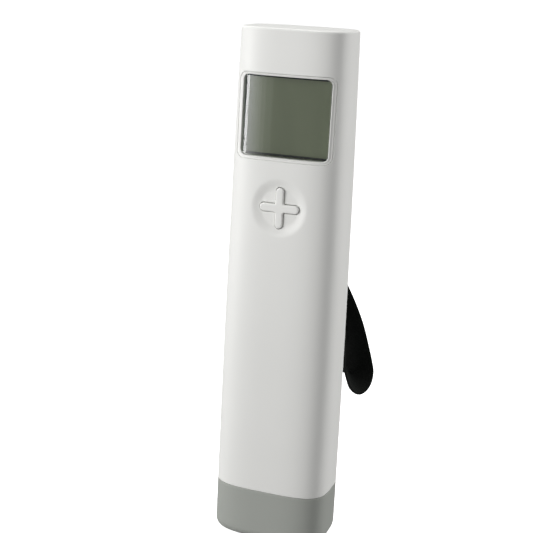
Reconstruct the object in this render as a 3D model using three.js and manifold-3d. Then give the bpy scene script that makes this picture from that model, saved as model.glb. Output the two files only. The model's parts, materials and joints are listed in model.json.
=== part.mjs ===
// Digital water tester: a hand-held meter for pools and spas, standing on its storage cap.
//
// The housing is a tall white column with a rounded, slightly tapering section. Its front carries a
// display behind a clear lens and a cross-shaped button in a round finger dish. Its rear cover holds
// the battery door and the bar of a webbing hand loop. A grey storage cap is pushed over the
// electrodes at the foot.
//
// Millimetres, +Z up, front towards -Y. The origin is the centre of the base that it stands on.

import * as THREE from 'three';
import { mergeVertices } from 'three/addons/utils/BufferGeometryUtils.js';
import Module from 'manifold-3d';

const wasm = await Module();
wasm.setup();

// ---------------------------------------------------------------- driving dimensions

const HEIGHT = 200.4;            // base to top face
const SEAM_Z = 21.2;             // storage cap below, housing above
const HALF_WIDTH = 22.0;         // half of the section along X, before taper
const HALF_DEPTH = 15.0;         // half of the section along Y, before taper
const SECTION_POWER = 3.7;       // superellipse exponent of the section
const SECTION_SIDES = 36;
const TAPER = 0.09;              // share of the section lost from the seam to the top
const BARREL = 0.022;            // share of the section gained half way up
const WALL = 2.0;                // housing wall
const GAP = 0.3;                 // between pieces that touch
const PARTING_Y = 9.5;           // plane where the front shell meets the rear cover
const TOP_CHAMFER = 0.8;
const BEYOND = 40;               // farther out than any surface of the column
const LEVELS = 3;                // steps of the housing's lofts

const CAP_WALL = 1.8;
const CAP_FLOOR = 2.0;
const CAP_FILLET = 4.0;          // round of the cap's lower edge

const LENS_HALF = 16.7;          // half-width of the clear lens
const LENS_LOW = 153.9;
const LENS_HIGH = 182.9;
const LENS_CORNER = 1.8;
const BEZEL_SIDE = 1.9;          // widths of the frame round the lens
const BEZEL_TOP = 1.2;
const BEZEL_FOOT = 1.5;
const BEZEL_BACK = 2.2;          // how deep the bezel and the lens reach behind the skin
const LENS_INSET = 0.6;          // how far the lens's face lies behind the skin
const LCD_HALF = 16.0;
const LCD_FRONT = -9.4;
const LCD_BACK = -7.6;
const LCD_OVER = 1.2;            // how far the glass reaches past the lens, above and below

const BUTTON_Z = 135.0;
const DISH_RADIUS = 10.0;
const DISH_DEPTH = 1.3;
const BUTTON_PAD = 0.9;          // how much the wall is thickened behind the dish
const FLANGE_RADIUS = 9.2;       // the button's flange, behind the shell
const CROSS_REACH = 7.7;         // half-length of the button's arms
const CROSS_HALF = 1.55;         // half-width of the button's arms

const BOARD_Y = -5.0;            // front face of the main board
const BOARD_THICK = 1.6;
const CELL_RADIUS = 5.25;        // AAA cell
const CELL_LENGTH = 44.5;
const CELL_Y = 5.35;
const CELL_X = 5.6;
const TRAY_LOW = 132.8;          // battery tray, outside
const TRAY_HIGH = 185.2;
const TRAY_HALF = 12.3;
const TRAY_WALL = 1.2;
const TRAY_RIM_Y = 10.6;
const LUG_HALF = 2.4;            // half-width of the tray's screw lugs

const DOOR_HALF = 12.7;
const DOOR_LOW = 126.6;
const DOOR_HIGH = 190.4;
const DOOR_CORNER = 3.0;
const DOOR_SCREWS = [129.8, 187.9];

const COVER_SCREWS = [[-14.2, 45], [14.2, 45], [-12.2, 193.2], [12.2, 193.2]];
const SCREW_RADIUS = 1.0;
const SCREW_HEAD = 2.0;
const POST_RADIUS = 2.7;         // screw posts inside the front shell
const PAD_RADIUS = 3.2;          // screw pads inside the rear cover
const COVER_SEAT_Y = 11.4;       // floor of the rear cover's screw wells
const DOOR_SEAT_Y = 13.2;        // floor of the door's screw wells

const BAR_X = 6.0;               // middle of the strap bar
const BAR_Y = 12.4;
const BAR_Z = 118.0;
const BAR_RADIUS = 1.2;
const BAR_HALF = 8.2;            // half-length of the bar
const POCKET_FLOOR_Y = 8.8;      // recess round the bar
const POCKET_BELOW = 5.8;
const POCKET_ABOVE = 3.8;
const POCKET_WALL = 1.5;
const STRAP_WIDTH = 14.0;
const STRAP_THICK = 1.1;
const TAB_LENGTH = 11.0;         // bar axis to the end of the sewn tab
const TAB_SLOPE = 50 * Math.PI / 180;

const SPIGOT_LOW = 13.6;         // probe block, from inside the cap to inside the housing
const BLOCK_HIGH = 34.0;
const SPIGOT_INSET = CAP_WALL + 0.5;
const GROOVE_LOW = 16.2;         // groove of the cap's seal
const GROOVE_HIGH = 18.4;
const GROOVE_INSET = SPIGOT_INSET + 1.1;
const PROBE_TIP = 6.4;
const PROBE_TOP = 36.4;

// ---------------------------------------------------------------- finishes

const finish = (color, roughness, metalness = 0) =>
  new THREE.MeshStandardMaterial({ color, roughness, metalness });

const WHITE = () => finish(0xe6e6e4, 0.45);
const GREY = () => finish(0x8f9290, 0.5);
const BLACK = () => finish(0x161816, 0.85);
const STEEL = () => finish(0xb9bcbe, 0.3, 1);
const BOARD_GREEN = () => finish(0x1f5a38, 0.5);
const RUBBER = () => finish(0x2b2c2d, 0.8);
const CHIP = () => finish(0x1a1b1d, 0.55);

// ---------------------------------------------------------------- solids

// A closed geometry as a solid that can be joined and cut.
function solid(geometry) {
  const bare = geometry.clone();
  bare.deleteAttribute('normal');
  bare.deleteAttribute('uv');
  const merged = mergeVertices(bare, 1e-4);
  const corners = merged.index.array;
  const kept = [];
  for (let i = 0; i < corners.length; i += 3) {
    const [a, b, c] = corners.slice(i, i + 3);
    if (a !== b && b !== c && c !== a) kept.push(a, b, c);
  }
  return new wasm.Manifold(new wasm.Mesh({
    numProp: 3,
    vertProperties: new Float32Array(merged.attributes.position.array),
    triVerts: new Uint32Array(kept),
  }));
}

// A solid back as a geometry.
function surfaceOf(body) {
  const mesh = body.getMesh();
  const geometry = new THREE.BufferGeometry();
  geometry.setAttribute('position', new THREE.BufferAttribute(new Float32Array(mesh.vertProperties), 3));
  geometry.setIndex(new THREE.BufferAttribute(new Uint32Array(mesh.triVerts), 1));
  geometry.computeVertexNormals();
  return geometry;
}

const joined = (first, ...others) => others.reduce((sum, other) => sum.add(other), first);
const cut = (first, ...others) => others.reduce((rest, other) => rest.subtract(other), first);

// A box between two opposite corners.
function block([x0, y0, z0], [x1, y1, z1]) {
  const box = new THREE.BoxGeometry(x1 - x0, y1 - y0, z1 - z0);
  return solid(box.translate((x0 + x1) / 2, (y0 + y1) / 2, (z0 + z1) / 2));
}

// A round rod between two points.
function rod(radius, from, to, sides = 20) {
  const start = new THREE.Vector3(...from);
  const along = new THREE.Vector3(...to).sub(start);
  const cylinder = new THREE.CylinderGeometry(radius, radius, along.length(), sides);
  const turn = new THREE.Quaternion().setFromUnitVectors(
    new THREE.Vector3(0, 1, 0), along.clone().normalize());
  cylinder.applyQuaternion(turn);
  const middle = start.addScaledVector(along, 0.5);
  return solid(cylinder.translate(middle.x, middle.y, middle.z));
}

// A profile of [radius, height] points turned round the vertical line through (x, y).
function turned(profile, x, y, sides = 24) {
  const points = profile.map(([radius, height]) => new THREE.Vector2(radius, height));
  const lathe = new THREE.LatheGeometry(points, sides).rotateX(Math.PI / 2);
  return solid(lathe.translate(x, y, 0));
}

// An outline in the XZ plane, made solid from y0 to y1.
function plate(shape, y0, y1, curveSegments = 6) {
  const slab = new THREE.ExtrudeGeometry(shape, { depth: y1 - y0, bevelEnabled: false, curveSegments });
  return solid(slab.rotateX(Math.PI / 2).translate(0, y1, 0));
}

function roundedRectangle(half, low, high, radius) {
  const shape = new THREE.Shape();
  shape.absarc(half - radius, low + radius, radius, -Math.PI / 2, 0);
  shape.absarc(half - radius, high - radius, radius, 0, Math.PI / 2);
  shape.absarc(radius - half, high - radius, radius, Math.PI / 2, Math.PI);
  shape.absarc(radius - half, low + radius, radius, Math.PI, 1.5 * Math.PI);
  shape.closePath();
  return shape;
}

const polygon = (corners) => new THREE.Shape(corners.map(([x, y]) => new THREE.Vector2(x, y)));

// A plus sign with round arm ends, centred on the button.
function crossShape(reach, half) {
  const points = [];
  const arcSteps = 6;
  for (let arm = 0; arm < 4; arm += 1) {
    const heading = arm * Math.PI / 2;
    const spot = (x, y) => new THREE.Vector2(x, y).rotateAround(new THREE.Vector2(), heading)
      .add(new THREE.Vector2(0, BUTTON_Z));
    points.push(spot(half, -half));
    for (let i = 0; i <= arcSteps; i += 1) {
      const angle = Math.PI * (i / arcSteps - 0.5);
      points.push(spot(reach - half + half * Math.cos(angle), half * Math.sin(angle)));
    }
  }
  return new THREE.Shape(points);
}

// ---------------------------------------------------------------- the column's section

// How large the section is at a height, against the nominal half-width and half-depth.
function sectionScale(z) {
  const rise = (z - SEAM_Z) / (HEIGHT - SEAM_Z);
  return 1 + TAPER * (0.5 - rise) + BARREL * 4 * rise * (1 - rise);
}

function unitSection() {
  const bulge = (value) => Math.sign(value) * Math.abs(value) ** (2 / SECTION_POWER);
  const points = [];
  for (let i = 0; i < SECTION_SIDES; i += 1) {
    const angle = 2 * Math.PI * i / SECTION_SIDES;
    points.push(new THREE.Vector2(bulge(Math.cos(angle)), bulge(Math.sin(angle))));
  }
  return new THREE.Shape(points);
}

// A solid whose section follows the column, drawn in by each level's inset.
function loft(levels) {
  const steps = levels.length - 1;
  const geometry = new THREE.ExtrudeGeometry(unitSection(), { depth: steps, steps, bevelEnabled: false });
  const position = geometry.attributes.position;
  for (let i = 0; i < position.count; i += 1) {
    const { z, inset } = levels[Math.round(position.getZ(i))];
    const scale = sectionScale(z);
    position.setXYZ(i,
      position.getX(i) * (HALF_WIDTH * scale - inset),
      position.getY(i) * (HALF_DEPTH * scale - inset),
      z);
  }
  return solid(geometry);
}

// Evenly spaced levels with one inset.
function evenLevels(low, high, inset, count) {
  return Array.from({ length: count + 1 }, (_, i) => ({ z: low + (high - low) * i / count, inset }));
}

const column = (low, high, inset, count = 1) => loft(evenLevels(low, high, inset, count));

// Y of the front surface at (x, z), drawn in by an inset.
function frontY(x, z, inset = 0) {
  const scale = sectionScale(z);
  const across = Math.abs(x) / (HALF_WIDTH * scale - inset);
  return -(HALF_DEPTH * scale - inset) * (1 - across ** SECTION_POWER) ** (1 / SECTION_POWER);
}

const frontHalf = (y) => block([-BEYOND, -BEYOND, -1], [BEYOND, y, HEIGHT + 1]);
const rearHalf = (y) => block([-BEYOND, y, -1], [BEYOND, BEYOND, HEIGHT + 1]);

function housingWall() {
  const outside = loft([
    ...evenLevels(SEAM_Z, HEIGHT - TOP_CHAMFER, 0, LEVELS),
    { z: HEIGHT, inset: TOP_CHAMFER },
  ]);
  return cut(outside, column(SEAM_Z - 1, HEIGHT - WALL, WALL, LEVELS));
}

// ---------------------------------------------------------------- housing

// The finger dish: a shallow hollow with a crisp round edge, turned about the button's axis.
function dishCutter() {
  const floorY = frontY(0, BUTTON_Z) + DISH_DEPTH;
  const rimRise = DISH_DEPTH - 0.45;
  const profile = [[0, 0]];
  for (let i = 1; i <= 5; i += 1) {
    const share = i / 5;
    profile.push([(DISH_RADIUS - 0.2) * share, rimRise * share ** 2]);
  }
  profile.push([DISH_RADIUS, rimRise + 0.2], [DISH_RADIUS, 4], [0, 4]);
  const points = profile.map(([radius, height]) => new THREE.Vector2(radius, height));
  // Turned so that the profile's height runs towards the front.
  const lathe = new THREE.LatheGeometry(points, 40).rotateX(Math.PI);
  return solid(lathe.translate(0, floorY, BUTTON_Z));
}

// Screw posts stand on the front wall and end at the parting plane.
const screwPost = ([x, z]) => rod(
  POST_RADIUS, [x, frontY(x, z, WALL) - 0.5, z], [x, PARTING_Y - GAP, z], 16);
const screwBore = ([x, z]) => rod(SCREW_RADIUS + GAP, [x, -4, z], [x, BEYOND, z], 16);

function frontShell() {
  const padY = frontY(0, BUTTON_Z, WALL);
  const posts = COVER_SCREWS.map(screwPost);
  const walls = housingWall().intersect(frontHalf(PARTING_Y));
  const buttonPad = rod(12, [0, padY - 0.6, BUTTON_Z], [0, padY + BUTTON_PAD, BUTTON_Z], 32);
  const ringOuter = FLANGE_RADIUS + 2.2;
  const ringInner = FLANGE_RADIUS + 0.6;
  const buttonRing = cut(
    rod(ringOuter, [0, padY, BUTTON_Z], [0, padY + WALL, BUTTON_Z], 32),
    rod(ringInner, [0, padY + BUTTON_PAD, BUTTON_Z], [0, padY + 3, BUTTON_Z], 32));
  const windowHole = plate(
    roundedRectangle(LENS_HALF + BEZEL_SIDE + GAP, LENS_LOW - BEZEL_FOOT - GAP,
      LENS_HIGH + BEZEL_TOP + GAP, LENS_CORNER + BEZEL_TOP),
    -BEYOND, 0);
  const inside = column(SEAM_Z - 1, HEIGHT - 0.5, 0.5, LEVELS).intersect(frontHalf(PARTING_Y - GAP));
  const added = joined(buttonPad, buttonRing, ...posts).intersect(inside);
  return cut(
    joined(walls, added),
    windowHole,
    dishCutter(),
    plate(crossShape(CROSS_REACH + GAP, CROSS_HALF + GAP), -BEYOND, 0),
    ...COVER_SCREWS.map(screwBore));
}

// The strap bar, or with a gap the hole that it lies in.
const barRod = (gap = 0) => rod(
  BAR_RADIUS + gap,
  [BAR_X - BAR_HALF - gap, BAR_Y, BAR_Z], [BAR_X + BAR_HALF + gap, BAR_Y, BAR_Z], 16);

// The recess round the strap bar, made larger on all sides by a wall.
function strapPocket(wall = 0) {
  const half = STRAP_WIDTH / 2 + 0.5 + wall;
  return block(
    [BAR_X - half, POCKET_FLOOR_Y - wall, BAR_Z - POCKET_BELOW - wall],
    [BAR_X + half, BEYOND, BAR_Z + POCKET_ABOVE + wall]);
}

const doorOutline = (extra) => roundedRectangle(
  DOOR_HALF + extra, DOOR_LOW - extra, DOOR_HIGH + extra, DOOR_CORNER + extra);

function rearCover() {
  const back = PARTING_Y + GAP;
  const walls = housingWall().intersect(rearHalf(back));
  const outside = column(SEAM_Z, HEIGHT - 1, 0.4, LEVELS);
  const pads = COVER_SCREWS.map(([x, z]) => rod(PAD_RADIUS, [x, back, z], [x, 20, z], 16));
  const added = joined(strapPocket(POCKET_WALL), ...pads).intersect(outside);
  const screwWells = COVER_SCREWS.map(
    ([x, z]) => rod(SCREW_HEAD + GAP, [x, COVER_SEAT_Y, z], [x, BEYOND, z], 16));
  return cut(
    joined(walls, added),
    strapPocket(),
    barRod(GAP),
    plate(doorOutline(GAP), 0, BEYOND),
    ...COVER_SCREWS.map(screwBore),
    ...screwWells);
}

// The seal runs just inside the walls, across the parting plane.
function shellGasket() {
  const low = BLOCK_HIGH + 1;
  const high = HEIGHT - WALL - GAP;
  const ring = cut(
    column(low, high, WALL + GAP, LEVELS),
    column(low + 1.2, high - 1.2, WALL + GAP + 1.2, LEVELS));
  const band = block([-BEYOND, PARTING_Y - 1.2, 0], [BEYOND, PARTING_Y + 0.4, HEIGHT]);
  const clear = COVER_SCREWS.map(([x, z]) => rod(PAD_RADIUS + GAP, [x, 0, z], [x, BEYOND, z], 16));
  return cut(ring.intersect(band), strapPocket(POCKET_WALL + GAP), ...clear);
}

// A slotted pan-head screw that goes in towards the front.
function screw(x, z, headY, length) {
  const shank = rod(SCREW_RADIUS, [x, headY - length, z], [x, headY + 0.2, z], 12);
  const head = rod(SCREW_HEAD, [x, headY, z], [x, headY + 1.2, z], 20);
  const slot = block([x - 1.5, headY + 0.6, z - 0.3], [x + 1.5, headY + 2, z + 0.3]);
  return cut(joined(shank, head), slot);
}

// ---------------------------------------------------------------- display

function windowBezel() {
  const outer = roundedRectangle(LENS_HALF + BEZEL_SIDE, LENS_LOW - BEZEL_FOOT,
    LENS_HIGH + BEZEL_TOP, LENS_CORNER + BEZEL_TOP);
  const inner = roundedRectangle(LENS_HALF + GAP, LENS_LOW - GAP, LENS_HIGH + GAP, LENS_CORNER + GAP);
  const skin = cut(column(140, 195, 0.2, 2), column(139, 196, BEZEL_BACK, 2));
  return cut(skin.intersect(plate(outer, -BEYOND, 0)), plate(inner, -BEYOND, 0));
}

function windowLens() {
  const outline = roundedRectangle(LENS_HALF, LENS_LOW, LENS_HIGH, LENS_CORNER);
  const skin = cut(column(140, 195, LENS_INSET, 2), column(139, 196, BEZEL_BACK, 2));
  return skin.intersect(plate(outline, -BEYOND, 0));
}

const lcdGlass = () => block(
  [-LCD_HALF, LCD_FRONT, LENS_LOW - LCD_OVER], [LCD_HALF, LCD_BACK, LENS_HIGH + LCD_OVER]);

function lcdFrame() {
  // A box that reaches past the glass's edges by a margin.
  const round = (margin, front, back) => block(
    [-LCD_HALF - margin, front, LENS_LOW - LCD_OVER - margin],
    [LCD_HALF + margin, back, LENS_HIGH + LCD_OVER + margin]);
  const seatY = LCD_BACK + GAP;
  return cut(
    round(1.5, LCD_BACK - 0.7, BOARD_Y - GAP),
    round(GAP, -BEYOND, seatY),
    round(-0.4, seatY - 1, 0));
}

const zebraStrip = (z) => block([-15, LCD_BACK + GAP, z - 1], [15, BOARD_Y - GAP, z + 1]);

// ---------------------------------------------------------------- button

// A cross that stands in the dish, on a round flange behind the shell.
function buttonCap() {
  const top = frontY(0, BUTTON_Z) - 0.1;
  const flangeY = frontY(0, BUTTON_Z, WALL) + BUTTON_PAD + GAP;
  return joined(
    plate(crossShape(CROSS_REACH, CROSS_HALF), top, flangeY + 0.2),
    rod(FLANGE_RADIUS, [0, flangeY, BUTTON_Z], [0, flangeY + 0.7, BUTTON_Z], 28));
}

function buttonMembrane() {
  const seat = frontY(0, BUTTON_Z, WALL) + WALL + GAP;
  return joined(
    rod(11.3, [0, seat, BUTTON_Z], [0, seat + 0.7, BUTTON_Z], 28),
    rod(2.2, [0, seat + 0.5, BUTTON_Z], [0, seat + 1.6, BUTTON_Z], 16));
}

function tactSwitch() {
  const back = BOARD_Y - GAP;
  return joined(
    block([-3, back - 2.2, BUTTON_Z - 3], [3, back, BUTTON_Z + 3]),
    rod(1.7, [0, back - 3.2, BUTTON_Z], [0, back - 1, BUTTON_Z], 16));
}

// ---------------------------------------------------------------- electronics

const BOARD_BACK = BOARD_Y + BOARD_THICK;

function mainBoard() {
  const outline = roundedRectangle(17.2, 52, 188, 1.5);
  const screwHoles = [[-13, 60], [13, 60], [-13, 122], [13, 122]].map(
    ([x, z]) => rod(1.3, [x, -BEYOND, z], [x, BEYOND, z], 12));
  return cut(plate(outline, BOARD_Y, BOARD_BACK), ...screwHoles);
}

const onBoardBack = (x, z, halfX, halfZ, thick) => block(
  [x - halfX, BOARD_BACK + GAP, z - halfZ], [x + halfX, BOARD_BACK + GAP + thick, z + halfZ]);

const buzzer = () => rod(5, [9, BOARD_BACK + GAP, 76], [9, BOARD_BACK + GAP + 3.2, 76], 24);

// ---------------------------------------------------------------- batteries

function batteryTray() {
  const floorY = CELL_Y - CELL_RADIUS - 0.4;
  const box = block([-TRAY_HALF, floorY - TRAY_WALL, TRAY_LOW], [TRAY_HALF, TRAY_RIM_Y, TRAY_HIGH]);
  const hollow = block(
    [TRAY_WALL - TRAY_HALF, floorY, TRAY_LOW + TRAY_WALL],
    [TRAY_HALF - TRAY_WALL, BEYOND, TRAY_HIGH - TRAY_WALL]);
  const lugs = DOOR_SCREWS.map((z) => block(
    [-LUG_HALF, 2.4, Math.min(z - LUG_HALF, TRAY_HIGH - TRAY_WALL)],
    [LUG_HALF, TRAY_RIM_Y, Math.max(z + LUG_HALF, TRAY_LOW + TRAY_WALL)]));
  const bores = DOOR_SCREWS.map((z) => rod(SCREW_RADIUS + GAP, [0, 4, z], [0, BEYOND, z], 16));
  return cut(joined(box, ...lugs), hollow, ...bores);
}

// A cell from its flat end to the tip of its nub; up is 1 with the nub at the top, -1 at the foot.
function cell(x, flatEnd, up) {
  const nubEnd = flatEnd + up * CELL_LENGTH;
  const shoulder = nubEnd - up * 1.0;
  return joined(
    rod(CELL_RADIUS, [x, CELL_Y, flatEnd], [x, CELL_Y, shoulder], 28),
    rod(1.9, [x, CELL_Y, shoulder - up * 0.2], [x, CELL_Y, nubEnd], 16));
}

// A coil spring round the cell's axis.
function contactSpring(x, low, high) {
  const turns = 3;
  const wire = 0.4;
  const rise = high - low - 2 * wire;
  const helix = new THREE.Curve();
  helix.getPoint = (share, target = new THREE.Vector3()) => {
    const angle = 2 * Math.PI * turns * share;
    const radius = 3.4 - 0.8 * share;
    return target.set(x + radius * Math.cos(angle), CELL_Y + radius * Math.sin(angle),
      low + wire + rise * share);
  };
  const section = new THREE.Shape();
  section.absarc(0, 0, wire, 0, 2 * Math.PI);
  return solid(new THREE.ExtrudeGeometry(section, {
    extrudePath: helix, steps: turns * 10, curveSegments: 2, bevelEnabled: false,
  }));
}

const contactPlate = (z) => block([-10.4, 1.2, z - 0.25], [10.4, 9.6, z + 0.25]);

function batteryDoor() {
  const skin = cut(
    column(DOOR_LOW - 5, DOOR_HIGH + 5, 0, 3),
    column(DOOR_LOW - 6, DOOR_HIGH + 6, WALL - 0.1, 3));
  const panel = skin.intersect(plate(doorOutline(0), 0, BEYOND));
  const wells = DOOR_SCREWS.map((z) => rod(SCREW_HEAD + GAP, [0, DOOR_SEAT_Y, z], [0, BEYOND, z], 16));
  const bores = DOOR_SCREWS.map((z) => rod(SCREW_RADIUS + GAP, [0, 0, z], [0, BEYOND, z], 16));
  const nailNotch = rod(6, [-6, 20.2, DOOR_LOW + 8.5], [6, 20.2, DOOR_LOW + 8.5], 24);
  return cut(panel, nailNotch, ...wells, ...bores);
}

function doorGasket() {
  const y0 = TRAY_RIM_Y + GAP;
  return cut(
    plate(roundedRectangle(TRAY_HALF - 0.2, TRAY_LOW + 0.2, TRAY_HIGH - 0.2, 1), y0, y0 + 0.6),
    plate(roundedRectangle(TRAY_HALF - 1.4, TRAY_LOW + 1.4, TRAY_HIGH - 1.4, 1), 0, BEYOND));
}

// ---------------------------------------------------------------- hand loop

// The ends of the webbing, wrapped round the bar and sewn together.
function strapTab() {
  const eye = BAR_RADIUS + GAP;
  const outer = eye + STRAP_THICK;
  const half = STRAP_WIDTH / 2;
  const tailThick = STRAP_THICK + 0.15;
  const ring = rod(outer, [BAR_X - half, 0, 0], [BAR_X + half, 0, 0], 20);
  const tail = block([BAR_X - half, 0, -tailThick], [BAR_X + half, TAB_LENGTH, tailThick]);
  const hole = rod(eye, [BAR_X - 10, 0, 0], [BAR_X + 10, 0, 0], 20);
  const flat = surfaceOf(cut(joined(ring, tail), hole));
  return solid(flat.rotateX(-TAB_SLOPE).translate(0, BAR_Y, BAR_Z));
}

// The loop's centreline, from the outer layer of the tab round to its inner layer: a place on the
// route, and the way that the webbing's width points there.
const LOOP_ROUTE = [
  { at: [6, 20.16, 109.76], across: [1, 0, 0] },
  { at: [6, 21.9, 107.7], across: [1, 0, 0] },
  { at: [7.2, 25, 103.2], across: [1, 0, 0.15] },
  { at: [9.6, 28.2, 96.5], across: [1, -0.05, 0.2] },
  { at: [12.8, 31.2, 88.5], across: [1, -0.1, 0.25] },
  { at: [16, 33.6, 80], across: [1, -0.15, 0.2] },
  { at: [18.5, 35.2, 71.5], across: [1, -0.2, 0.15] },
  { at: [20.1, 36, 64], across: [1, -0.1, 0.05] },
  { at: [20.9, 35.4, 59.4], across: [1, 0, -0.2] },
  { at: [21.1, 32.9, 56.9], across: [1, -0.05, -0.55] },
  { at: [20.5, 29.8, 56.8], across: [0.78, -0.25, -0.9] },
  { at: [19.2, 27.1, 59.4], across: [0.52, -0.55, -0.75] },
  { at: [17.6, 25.3, 65], across: [0.42, -0.82, -0.25] },
  { at: [15.3, 23.8, 73.3], across: [0.6, -0.7, 0] },
  { at: [12.7, 22.3, 83.5], across: [0.9, -0.5, 0.1] },
  { at: [9.9, 20.8, 94], across: [1, -0.2, 0.2] },
  { at: [7.3, 19.7, 102], across: [1, 0, 0.1] },
  { at: [6, 20.58, 107.24], across: [1, 0, 0] },
  { at: [6, 19.17, 108.92], across: [1, 0, 0] },
];
const LOOP_STEPS = 44;

// A flat band laid along the route.
function strapWebbing() {
  const centre = new THREE.CatmullRomCurve3(LOOP_ROUTE.map(({ at }) => new THREE.Vector3(...at)));
  const width = new THREE.CatmullRomCurve3(LOOP_ROUTE.map(({ across }) => new THREE.Vector3(...across)));
  const halfWidth = STRAP_WIDTH / 2;
  const halfThick = STRAP_THICK / 2;
  const bevel = 0.25;
  const section = polygon([
    [-halfWidth + bevel, -halfThick], [halfWidth - bevel, -halfThick], [halfWidth, bevel - halfThick],
    [halfWidth, halfThick - bevel], [halfWidth - bevel, halfThick], [-halfWidth + bevel, halfThick],
    [-halfWidth, halfThick - bevel], [-halfWidth, bevel - halfThick],
  ]);
  const band = new THREE.ExtrudeGeometry(section, {
    depth: LOOP_STEPS, steps: LOOP_STEPS, bevelEnabled: false,
  });
  const position = band.attributes.position;
  for (let i = 0; i < position.count; i += 1) {
    const share = Math.round(position.getZ(i)) / LOOP_STEPS;
    const tangent = centre.getTangent(share);
    const across = width.getPoint(share);
    across.addScaledVector(tangent, -across.dot(tangent)).normalize();
    const facing = new THREE.Vector3().crossVectors(tangent, across);
    const spot = centre.getPoint(share)
      .addScaledVector(across, position.getX(i))
      .addScaledVector(facing, position.getY(i));
    position.setXYZ(i, spot.x, spot.y, spot.z);
  }
  return solid(band);
}

// ---------------------------------------------------------------- electrodes

// Each probe stands on the vertical line through (x, y).
const PROBES = {
  ph_electrode: { x: -13, y: 0, radius: 3.2 },
  reference_electrode: { x: -6.2, y: 0, radius: 1.9 },
  orp_electrode: { x: 7, y: 0, radius: 1.7 },
  conductivity_pin_front: { x: 11.6, y: -3.6, radius: 0.9 },
  conductivity_pin_rear: { x: 11.6, y: 3.6, radius: 0.9 },
  temperature_probe: { x: 16, y: 0, radius: 1.5 },
};

// A straight tube with a round tip.
function probeRod({ x, y, radius }) {
  const profile = [[0, PROBE_TIP]];
  for (let i = 1; i <= 4; i += 1) {
    const angle = i * Math.PI / 8;
    profile.push([radius * Math.sin(angle), PROBE_TIP + radius * (1 - Math.cos(angle))]);
  }
  profile.push([radius, PROBE_TOP], [0, PROBE_TOP]);
  return turned(profile, x, y, 16);
}

// The glass electrode narrows to a neck above its round sensing bulb.
function phElectrode({ x, y, radius }) {
  const bulb = 2.4;
  const neck = 1.5;
  const profile = [[0, PROBE_TIP - 0.4]];
  for (let i = 1; i <= 7; i += 1) {
    const angle = i * Math.PI / 9;
    profile.push([bulb * Math.sin(angle), PROBE_TIP - 0.4 + bulb * (1 - Math.cos(angle))]);
  }
  profile.push([neck, 11.4], [radius, 12.6], [radius, PROBE_TOP], [0, PROBE_TOP]);
  return turned(profile, x, y, 20);
}

function probeBlock() {
  const step = 0.05;
  const body = loft([
    { z: SPIGOT_LOW, inset: SPIGOT_INSET + 0.8 },
    { z: SPIGOT_LOW + 0.8, inset: SPIGOT_INSET },
    { z: GROOVE_LOW, inset: SPIGOT_INSET },
    { z: GROOVE_LOW + step, inset: GROOVE_INSET },
    { z: GROOVE_HIGH - step, inset: GROOVE_INSET },
    { z: GROOVE_HIGH, inset: SPIGOT_INSET },
    { z: SEAM_Z, inset: WALL + GAP },
    { z: BLOCK_HIGH, inset: WALL + GAP },
  ]);
  const hollow = loft([
    { z: 24, inset: 4.5 },
    { z: BLOCK_HIGH + 1, inset: 4.5 },
  ]);
  const sockets = Object.values(PROBES).map(
    ({ x, y, radius }) => rod(radius + 1.4, [x, y, 22], [x, y, BLOCK_HIGH - 3], 16));
  const bores = Object.values(PROBES).map(
    ({ x, y, radius }) => rod(radius + GAP, [x, y, 0], [x, y, BLOCK_HIGH + 1], 20));
  return cut(joined(cut(body, hollow), ...sockets), ...bores);
}

function capSealRing() {
  const outer = CAP_WALL + GAP;
  const inner = GROOVE_INSET - GAP;
  const low = GROOVE_LOW + 0.4;
  const high = GROOVE_HIGH - 0.4;
  const round = 0.3;
  const ring = loft([
    { z: low, inset: outer + round },
    { z: low + 0.4, inset: outer },
    { z: high - 0.4, inset: outer },
    { z: high, inset: outer + round },
  ]);
  return cut(ring, column(low - 1, high + 1, inner));
}

const probeBoard = () => column(PROBE_TOP + GAP, PROBE_TOP + GAP + 1.2, 5);

// A flat cable from the probe board to the foot of the main board.
function probeRibbon() {
  const route = new THREE.CatmullRomCurve3([
    [0, 0.5, 38.3], [0, 0.6, 42], [0, -1, 45.5], [0, -2.4, 49], [0, -2.75, 53], [0, -2.75, 58],
  ].map(([x, y, z]) => new THREE.Vector3(x, y, z)));
  const steps = 14;
  const section = polygon([[-6, -0.25], [6, -0.25], [6, 0.25], [-6, 0.25]]);
  const band = new THREE.ExtrudeGeometry(section, { depth: steps, steps, bevelEnabled: false });
  const position = band.attributes.position;
  for (let i = 0; i < position.count; i += 1) {
    const share = Math.round(position.getZ(i)) / steps;
    const tangent = route.getTangent(share);
    const spot = route.getPoint(share);
    const offset = position.getY(i);
    position.setXYZ(i, position.getX(i), spot.y + offset * tangent.z, spot.z - offset * tangent.y);
  }
  return solid(band);
}

// ---------------------------------------------------------------- storage cap

function storageCap() {
  const top = SEAM_Z - GAP;
  const round = [];
  const roundSteps = 4;
  for (let i = 0; i <= roundSteps; i += 1) {
    const angle = (i / roundSteps) * Math.PI / 2;
    round.push({ z: CAP_FILLET * (1 - Math.cos(angle)), inset: CAP_FILLET * (1 - Math.sin(angle)) });
  }
  const outside = loft([...round, { z: top, inset: 0 }]);
  const inside = loft([
    { z: CAP_FLOOR, inset: 4.2 },
    { z: CAP_FLOOR + 2.4, inset: CAP_WALL + 0.2 },
    { z: CAP_FLOOR + 3.2, inset: CAP_WALL },
    { z: top + 1, inset: CAP_WALL },
  ]);
  return cut(outside, inside);
}

const capSponge = () => column(CAP_FLOOR + GAP, CAP_FLOOR + GAP + 2.2, 5.2);

// ---------------------------------------------------------------- assembly

const tester = new THREE.Group();

function add(name, body, material) {
  const mesh = new THREE.Mesh(surfaceOf(body), material);
  mesh.name = name;
  tester.add(mesh);
}

add('storage_cap', storageCap(), GREY());
add('cap_sponge', capSponge(), finish(0xd9c66a, 0.95));

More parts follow.
